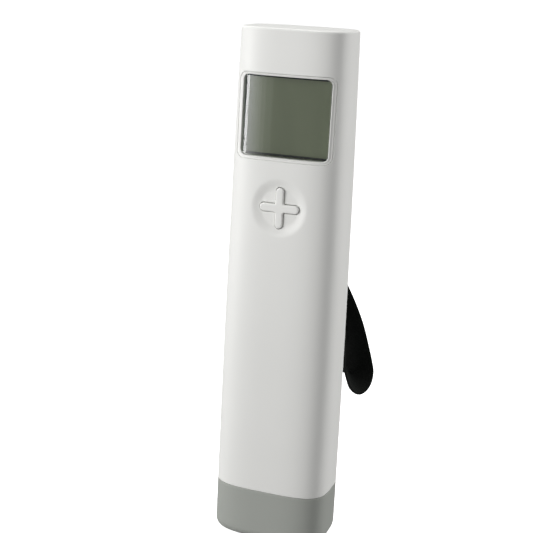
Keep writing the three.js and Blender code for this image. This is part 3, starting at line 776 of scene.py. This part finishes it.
def make_front_shell():
    shell = housing_half("front_shell_moulding", -FAR, PARTING_Y)
    window = opening_tool(
        "window", BEZEL_HIGH.x + HAIRLINE, BEZEL_LOW.z - HAIRLINE, BEZEL_HIGH.z + HAIRLINE,
        LENS_CORNER + BEZEL_TURN, 0.3)
    carve(shell, window)
    carve(shell, skin("cross", [cross_loop(y, GAP) for y in (-FAR, 0)]))
    finished(shell, "tester", "white_shell", "front_shell")


def screw_spot(node):
    """A screw's (x, z)."""
    low, high = box_mm(node)
    return (low.x + high.x) / 2, (low.z + high.z) / 2


def sink_screw(piece, spot, seat_y):
    """Cuts the flared well and the bore of a screw whose head sits at seat_y."""
    rim = face_y(*spot)
    well = [
        (0, seat_y), (WELL_RADIUS, seat_y), (WELL_RADIUS, rim - 0.25), (WELL_MOUTH, rim + 0.25),
        (WELL_MOUTH, FAR), (0, FAR),
    ]
    carve(piece, lathe("well", well, spot, "Y"))
    bore = [(0, 0), (BORE_RADIUS, 0), (BORE_RADIUS, seat_y + 0.6), (0, seat_y + 0.6)]
    carve(piece, lathe("bore", bore, spot, "Y"))


def add_screw_pads(cover):
    """The bosses that take the four cover screws."""
    back = PARTING_Y + GAP
    for i in range(1, 5):
        spot = screw_spot(f"cover_screw_{i}")
        pad = lathe("pad", [(0, back), (PAD_RADIUS, back), (PAD_RADIUS, 20), (0, 20)], spot, "Y")
        carve(pad, column("limit", SEAM_Z, HEIGHT - 1, 0.6), "INTERSECT")
        carve(cover, pad, "UNION")
        sink_screw(cover, spot, COVER_SEAT_Y)


def add_strap_pocket(cover):
    """The walled recess with the bore that holds the strap bar."""
    half = STRAP_WIDTH / 2 + 0.5
    wide = half + POCKET_SIDE_WALL
    pocket = block(
        "pocket", (BAR.x - wide, POCKET_BACK_Y, BAR.z - POCKET_BELOW - POCKET_WALL),
        (BAR.x + wide, FAR, BAR.z + POCKET_ABOVE + POCKET_WALL))
    carve(pocket, column("limit", SEAM_Z, HEIGHT - 1, 0.6), "INTERSECT")
    carve(cover, pocket, "UNION")
    carve(cover, pocket_tool(half))
    radius = BAR_RADIUS + GAP
    reach = BAR_HIGH.x - BAR.x + GAP
    bore = [(0, BAR.x - reach), (radius, BAR.x - reach), (radius, BAR.x + reach), (0, BAR.x + reach)]
    carve(cover, turn_to_x(lathe("bar_bore", bore, (0, 0), "Z"), BAR))


def make_rear_cover():
    cover = housing_half("rear_cover_moulding", PARTING_Y + GAP, FAR)
    add_screw_pads(cover)
    add_strap_pocket(cover)
    door = opening_tool(
        "door_hole", DOOR_HIGH.x + DOOR_GAP, DOOR_LOW.z - DOOR_GAP, DOOR_HIGH.z + DOOR_GAP,
        DOOR_CORNER + DOOR_GAP, 0.3, 1)
    carve(cover, door)
    finished(cover, "tester", "white_shell", "rear_cover")


def turn_to_x(piece, centre):
    """Lays a lathe that stands on Z, with its heights as x, along X through centre."""
    for vertex in piece.data.vertices:
        x, y, z = vertex.co
        vertex.co = (z, centre.y * MM + y, centre.z * MM - x)
    return piece


def pocket_tool(half):
    """The recess round the strap bar, with a rounded mouth."""
    low, high = BAR.z - POCKET_BELOW, BAR.z + POCKET_ABOVE
    start = face_y(BAR.x, BAR.z) - POCKET_MOUTH
    profile = [(POCKET_FLOOR_Y, 0.0), (start, 0.0)]
    for i in range(1, 6):
        angle = math.radians(68 * i / 5)
        profile.append((start + POCKET_MOUTH * math.sin(angle), POCKET_MOUTH * (1 - math.cos(angle))))
    profile.append((FAR, profile[-1][1] + 0.1))
    rings = []
    for y, grow in profile:
        outline = rectangle(half + grow, low - grow, high + grow, 1.2 + grow)
        rings.append([(BAR.x + x, y, z) for x, z in outline])
    return skin("pocket_hole", rings)


# ---------------------------------------------------------------- display


def bezel_outline(share, grow):
    """Between the lens's outline (share 0) and the bezel's (share 1)."""
    def between(a, b):
        return a + (b - a) * share

    return rectangle(
        between(LENS_HALF, BEZEL_HIGH.x) + grow,
        between(LENS_LOW.z, BEZEL_LOW.z) - grow,
        between(LENS_HIGH.z, BEZEL_HIGH.z) + grow,
        between(LENS_CORNER, LENS_CORNER + BEZEL_TURN) + grow)


def make_bezel():
    """The frame round the lens: two soft shoulders with a shallow valley between them."""
    profile = [
        (2.1, 0, GAP), (0.85, 0, GAP), (0.45, 0, GAP + 0.03), (0.26, 0, GAP + 0.1), (0.16, 0, GAP + 0.25),
        (0.13, 0.25, 0.2), (0.15, 0.42, 0.05), (0.24, 0.56, 0.0), (0.24, 0.66, 0), (0.13, 0.8, 0),
        (0.09, 0.92, 0), (0.12, 1, -0.06), (0.2, 1, -0.01), (0.5, 1, 0), (2.1, 1, 0),
    ]
    rings = [on_face(bezel_outline(share, grow), inset) for inset, share, grow in profile]
    finished(skin("window_bezel_frame", rings, around=True), "tester", "bezel_white", "window_bezel")


def make_lens():
    """The lens: the housing's curve in front, flat behind, in rows with evenly spread points."""
    edge = []
    for i in range(7):
        angle = math.pi / 12 * i
        edge.append((LENS_CORNER * (1 - math.cos(angle)), LENS_CORNER * (1 - math.sin(angle))))
    rows = [(LENS_LOW.z + rise, inset) for rise, inset in edge]
    rows += [(z, 0.0) for z in levels(LENS_LOW.z + LENS_CORNER + 1, LENS_HIGH.z - LENS_CORNER - 1, 1.0)]
    rows += [(LENS_HIGH.z - rise, inset) for rise, inset in reversed(edge)]
    steps = 132
    rings = []
    for z, inset in rows:
        across = [(LENS_HALF - inset) * (2 * i / steps - 1) for i in range(steps + 1)]
        front = [(x, -face_y(x, z, LENS_INSET), z) for x in across]
        rings.append(front + [(x, LENS_HIGH.y, z) for x in reversed(across)])
    finished(skin("window_lens_sheet", rings), "tester", "clear_lens", "window_lens")


def make_lcd_mask():
    """The dark border printed round the display's active area."""
    low, high = box_mm("lcd_glass")
    back = low.y - 0.01
    front = back - 0.08
    outer = rectangle(high.x, low.z, high.z, 0.4)
    inner = rectangle(LENS_HALF - 0.5, LENS_LOW.z + 0.4, LENS_HIGH.z - 0.6, 0.4)
    rings = []
    for outline, y in ((outer, back), (outer, front), (inner, front), (inner, back)):
        rings.append([(x, y, z) for x, z in outline])
    finished(skin("lcd_mask", rings, around=True), "tester", "black_plastic")


# ---------------------------------------------------------------- button


def make_button():
    """The cross on its flange behind the shell. Pressed in, it just clears the membrane."""
    top = BUTTON_LOW.y + BUTTON_RISE
    back = BUTTON_HIGH.y - MEMBRANE_ROOM
    profile = [(back - 0.2, 0.0), (top + BUTTON_ROUND, 0.0)]
    for drop, inset in round_edge(BUTTON_ROUND, 6)[1:]:
        profile.append((top + drop, -inset))
    profile.append((top, -1.2))
    cap = skin("button_cross", [cross_loop(y, grow) for y, grow in profile])
    front = back - FLANGE_THICK
    flange = [(0, front), (FLANGE_RADIUS, front), (FLANGE_RADIUS, back), (0, back)]
    carve(cap, lathe("flange", flange, (0, BUTTON_Z), "Y"), "UNION")
    finished(cap, "button", "button_white", "button_cap")


# ---------------------------------------------------------------- battery door


def make_door():
    """The door: a panel of the housing's own curve with its outer edges rounded."""
    door = column("battery_door_panel", DOOR_LOW.z - 2, DOOR_HIGH.z + 2, 0.0, 2.0)
    carve(door, column("hollow", DOOR_LOW.z - 3, DOOR_HIGH.z + 3, WALL - 0.1, 2.0))
    outline = opening_tool("outline", DOOR_HIGH.x, DOOR_LOW.z, DOOR_HIGH.z, DOOR_CORNER, -0.4, 1)
    carve(door, outline, "INTERSECT")
    for i in (1, 2):
        sink_screw(door, screw_spot(f"door_screw_{i}"), DOOR_SEAT_Y)
    carve(door, nail_notch())
    finished(door, "door", "white_shell", "battery_door")


def nail_notch():
    """A shallow scoop for a fingernail near the door's foot: a barrel that lies along X."""
    profile = []
    for end in (-1, 1):
        edge = [(0, NOTCH_HALF), (NOTCH_HALF - 1.4, NOTCH_HALF), (NOTCH_HALF - 0.4, NOTCH_HALF - 0.4),
                (NOTCH_HALF, NOTCH_HALF - 1.4)]
        side = [(radius, end * reach) for radius, reach in edge]
        profile += side if end < 0 else reversed(side)
    tool = lathe("notch", profile, (0, 0), "Z")
    return turn_to_x(tool, Vector((0, NOTCH_AXIS_Y, DOOR_LOW.z + NOTCH_RISE)))


# ---------------------------------------------------------------- screws


def make_screw(node, body):
    """A pan-head screw along Y with a rounded head and a cross recess."""
    low, high = box_mm(node)
    x, z = screw_spot(node)
    head = (high.x - low.x) / 2
    seat = high.y - SCREW_HEAD
    shank = SHANK_RADIUS
    profile = [(0, low.y), (shank - 0.3, low.y), (shank, low.y + 0.5), (shank, seat), (head, seat)]
    for drop, inset in reversed(round_edge(0.6)):
        profile.append((head - inset, high.y - 0.12 - drop))
    profile += [(head * 0.5, high.y - 0.03), (0, high.y)]
    screw = lathe(node + "_pan_head", profile, (x, z), "Y", sides=48)
    for wide, tall in ((1.15, 0.24), (0.24, 1.15)):
        carve(screw, block("recess", (x - wide, high.y - 0.8, z - tall), (x + wide, FAR, z + tall)))
    finished(screw, body, "bright_steel", node)


def make_screws():
    for i in range(1, 5):
        make_screw(f"cover_screw_{i}", "tester")
    for i in (1, 2):
        make_screw(f"door_screw_{i}", "door")


# ---------------------------------------------------------------- storage cap and probes


def make_storage_cap():
    """The cap: a rounded foot, a thin wall and a hollow that clears the probes."""
    rim = 0.12
    rings = [section_ring(0, CAP_ROUND + extra) for extra in (8.0, 4.0, 1.5)]
    for drop, inset in reversed(round_edge(CAP_ROUND, 10)):
        rings.append(section_ring(drop, inset))
    top = SEAM_Z - HAIRLINE
    rings += [section_ring(z, 0) for z in levels(CAP_ROUND + 1, top - 1, 3.0)]
    for drop, inset in round_edge(rim, 3):
        rings.append(section_ring(top - drop, inset))
    hollow = [
        (top, CAP_WALL - 0.2), (top - 0.2, CAP_WALL), (5.2, CAP_WALL), (4.0, CAP_WALL + 0.3),
        (2.6, CAP_WALL + 1.4), (2.0, CAP_WALL + 2.8), (2.0, 9.0),
    ]
    rings += [section_ring(z, inset) for z, inset in hollow]
    finished(skin("storage_cap_moulding", rings), "cap", "grey_cap", "storage_cap")


PROBE_SLOTS = {
    "ph_electrode": "probe_glass",
    "reference_electrode": "ceramic",
    "orp_electrode": "platinum",
    "conductivity_pin_front": "bright_steel",
    "conductivity_pin_rear": "bright_steel",
    "temperature_probe": "bright_steel",
}


def probe_place(node):
    """A probe's x, y, radius, tip height and top height."""
    low, high = box_mm(node)
    return (low.x + high.x) / 2, (low.y + high.y) / 2, (high.x - low.x) / 2, low.z, high.z


def make_probes():
    for node, slot in PROBE_SLOTS.items():
        x, y, radius, tip, top = probe_place(node)
        profile = [(0, tip)]
        if node == "ph_electrode":
            bulb = 2.4
            for i in range(1, 15):
                angle = i * math.pi / 18
                profile.append((bulb * math.sin(angle), tip + bulb * (1 - math.cos(angle))))
            profile += [(1.5, 11.2), (1.7, 11.8), (2.6, 12.3), (radius, 12.9)]
        else:
            for i in range(1, 9):
                angle = i * math.pi / 16
                profile.append((radius * math.sin(angle), tip + radius * (1 - math.cos(angle))))
        profile += [(radius, top - 0.2), (radius - 0.2, top), (0, top)]
        finished(lathe(node + "_tube", profile, (x, y), sides=40), "tester", slot, node)


def make_probe_block():
    """The plug that carries the probes, with the groove of the cap's seal."""
    low, high = box_mm("probe_block")
    spigot = SPIGOT_INSET
    groove = SPIGOT_INSET + GROOVE_DEPTH
    profile = [
        (low.z, spigot + 6), (low.z, spigot + 0.8), (low.z + 0.2, spigot + 0.35), (low.z + 0.8, spigot),
        (GROOVE_LOW, spigot), (GROOVE_LOW + 0.05, groove), (GROOVE_HIGH - 0.05, groove),
        (GROOVE_HIGH, spigot), (SEAM_Z, spigot), (high.z, spigot), (high.z, 4.5), (24, 4.5), (24, 9),
    ]
    plug = skin("probe_block_moulding", [section_ring(z, inset) for z, inset in profile])
    for node in PROBE_SLOTS:
        x, y, radius, _, _ = probe_place(node)
        hole = radius + GAP
        wide = hole + 0.5
        bore = [(0, 5), (wide, 5), (wide, low.z + 0.1), (hole, low.z + 0.6), (hole, 36), (0, 36)]
        carve(plug, lathe("bore", bore, (x, y), sides=40))
    finished(plug, "tester", "probe_grey", "probe_block")


def make_seal_ring():
    """The cap's seal: a round-backed ring in the block's groove."""
    low, high = box_mm("cap_seal_ring")
    middle = (low.z + high.z) / 2
    half = (high.z - low.z) / 2
    outer = 2.1
    rings = []
    for i in range(16):
        angle = 2 * math.pi * i / 16
        inset = outer + 0.5 - 0.5 * math.cos(angle)
        rings.append(section_ring(middle + half * math.sin(angle), inset))
    seal = skin("cap_seal_ring_rubber", rings, around=True, sharp_deg=80)
    finished(seal, "tester", "rubber_seal", "cap_seal_ring")


# ---------------------------------------------------------------- hand loop


def smooth_route(points, count):
    """A centripetal Catmull-Rom curve through points, as count + 1 places."""
    spots = [Vector(p) for p in points]
    places = []
    for k in range(count + 1):
        place = k / count * (len(spots) - 1)
        i = min(int(place), len(spots) - 2)
        w = place - i
        p1, p2 = spots[i], spots[i + 1]
        p0 = spots[i - 1] if i > 0 else 2 * spots[0] - spots[1]
        p3 = spots[i + 2] if i + 2 < len(spots) else 2 * spots[-1] - spots[-2]
        d0, d1, d2 = (max((b - a).length ** 0.5, 1e-4) for a, b in ((p0, p1), (p1, p2), (p2, p3)))
        t1 = ((p1 - p0) / d0 - (p2 - p0) / (d0 + d1) + (p2 - p1) / d1) * d1
        t2 = ((p2 - p1) / d1 - (p3 - p1) / (d1 + d2) + (p3 - p2) / d2) * d1
        square = 3 * (p2 - p1) - 2 * t1 - t2
        cube = 2 * (p1 - p2) + t1 + t2
        places.append(p1 + t1 * w + square * w ** 2 + cube * w ** 3)
    return places


def evenly(places, widths, step):
    """The route and its width directions again, a step apart along the route."""
    run = [0.0]
    for a, b in zip(places, places[1:]):
        run.append(run[-1] + (b - a).length)
    count = round(run[-1] / step)
    spots = []
    at = 0
    for k in range(count + 1):
        goal = min(run[-1] * k / count, run[-1] - 1e-6)
        while run[at + 1] < goal:
            at += 1
        share = (goal - run[at]) / (run[at + 1] - run[at])
        spots.append((places[at].lerp(places[at + 1], share), widths[at].lerp(widths[at + 1], share)))
    return spots, run[-1]


def weave(along, across):
    """Height of the woven surface: ribs 1 mm wide that pass over and under the weft."""
    shift = math.pi * (math.floor(across) % 2)
    crown = abs(math.sin(math.pi * across))
    return 0.07 * crown * (1 + math.sin(2 * math.pi * along / 1.5 + shift)) - 0.06


def band(name, places, widths, body, *nodes):
    """Woven webbing along a route, with soft selvedges and the weave in its surface."""
    spots, length = evenly(places, widths, 0.28)
    steps_across = 42
    half = STRAP_WIDTH / 2
    thick = STRAP_THICK / 2 - 0.06
    rings, along_mm, across_mm = [], [], []
    for k, (place, width) in enumerate(spots):
        ahead = spots[min(k + 1, len(spots) - 1)][0]
        behind = spots[max(k - 1, 0)][0]
        tangent = (ahead - behind).normalized()
        width = (width - tangent * width.dot(tangent)).normalized()
        facing = tangent.cross(width)
        along = length * k / (len(spots) - 1)
        ring = []
        for side in (1, -1):
            for i in range(steps_across + 1):
                across = side * (half - 2 * half * i / steps_across)
                edge = min(1.0, (half - abs(across)) / 0.5)
                height = thick * math.sqrt(1 - (1 - edge) ** 2) + weave(along, across) * edge
                if 0 < i < steps_across:
                    ring.append(place + width * across + facing * side * height)
                    across_mm.append(across)
                    along_mm.append(along)
                elif side == 1:
                    ring.append(place + width * across)
                    across_mm.append(across)
                    along_mm.append(along)
        rings.append(ring)
    piece = skin(name, rings, sharp_deg=60)
    store_threads(piece, along_mm, across_mm)
    return finished(piece, body, "black_webbing", *nodes), [s[0] for s in spots], length


def store_threads(piece, along_mm, across_mm):
    """Keeps each vertex's place along and across the webbing, for its material."""
    count = len(piece.data.vertices)
    for name, values in (("along_mm", along_mm), ("across_mm", across_mm)):
        layer = piece.data.attributes.new(name, "FLOAT", "POINT")
        layer.data.foreach_set("value", values[:count])


def tab_directions():
    """The way that the sewn tab points, and the way out of its upper face."""
    ahead = Vector((0, math.cos(TAB_SLOPE), -math.sin(TAB_SLOPE)))
    lift = Vector((0, math.sin(TAB_SLOPE), math.cos(TAB_SLOPE)))
    return ahead, lift


def make_tab():
    """The webbing's ends, laid round the bar and sewn flat together."""
    ahead, lift = tab_directions()
    offset = STRAP_THICK / 2 + 0.1
    round_bar = BAR_RADIUS + GAP + STRAP_THICK / 2
    reaches = [TAB_START + (TAB_LENGTH - TAB_START) * i / 11 for i in range(12)]
    points = [BAR + ahead * reach + lift * offset for reach in reversed(reaches)]
    for i in range(33):
        angle = math.radians(50 + 260 * i / 32)
        points.append(BAR + (ahead * math.cos(angle) + lift * math.sin(angle)) * round_bar)
    points += [BAR + ahead * reach - lift * offset for reach in reaches]
    places = smooth_route(points, 300)
    widths = [Vector((1, 0, 0))] * len(places)
    tab, _, _ = band("strap_tab_webbing", places, widths, "strap", "strap_tab")
    return tab


def make_stitches():
    """Bar tacks across the sewn tab: short threads in three rows on each face."""
    ahead, lift = tab_directions()
    points, faces = [], []
    for side in (1, -1):
        for reach in (5.0, 7.4, 9.8):
            for k in range(11):
                x = BAR.x + (k - 5) * 1.12
                middle = BAR + ahead * (reach + 0.25 * (k % 2)) + lift * side * (STRAP_THICK + 0.12)
                middle.x = x
                add_stitch(points, faces, middle, Vector((1, 0, 0)), ahead, lift * side)
    stitches = solid_mesh("strap_stitches", points, faces, 70)
    return finished(stitches, "strap", "black_webbing")


def add_stitch(points, faces, middle, along, across, out):
    """One thread of a seam: a short bow that dips into the webbing at both ends."""
    rings, sides = 7, 6
    first = len(points)
    for i in range(rings):
        share = i / (rings - 1) * 2 - 1
        radius = 0.17 * math.sqrt(max(0.05, 1 - share ** 4))
        centre = middle + along * share * 0.46 + out * (0.08 - 0.16 * share ** 2)
        for j in range(sides):
            angle = 2 * math.pi * j / sides
            points.append(centre + across * radius * math.cos(angle) + out * radius * math.sin(angle))
    for i in range(rings - 1):
        for j in range(sides):
            a, b = first + i * sides + j, first + i * sides + (j + 1) % sides
            faces.append((a, b, b + sides, a + sides))
    faces.append(tuple(first + j for j in range(sides)))
    last = first + (rings - 1) * sides
    faces.append(tuple(last + j for j in range(sides)))


def make_strap():
    tab = make_tab()
    stitches = make_stitches()
    places = smooth_route([at for at, _ in LOOP_ROUTE], 900)
    widths = smooth_route([across for _, across in LOOP_ROUTE], 900)
    loop, centreline, length = band("strap_loop_webbing", places, widths, "strap", "strap_webbing")


# ---------------------------------------------------------------- the rest of the CAD


def paint_cad_nodes():
    """Every CAD node that stays gets the material of its slot."""
    for part in frame["record"]["subparts"]:
        node = frame["nodes"][part["node"]]
        node.data.materials.clear()
        node.data.materials.append(MATERIALS[part["material_slot"]])


make_camera()
MATERIALS = make_materials()
make_lights()
make_world()
make_floor()
bpy.context.scene.view_settings.view_transform = "Standard"
paint_cad_nodes()
make_strap()
make_front_shell()
make_rear_cover()
make_bezel()
make_lens()
make_lcd_mask()
make_button()
make_door()
make_screws()
make_storage_cap()
make_probe_block()
make_probes()
make_seal_ring()
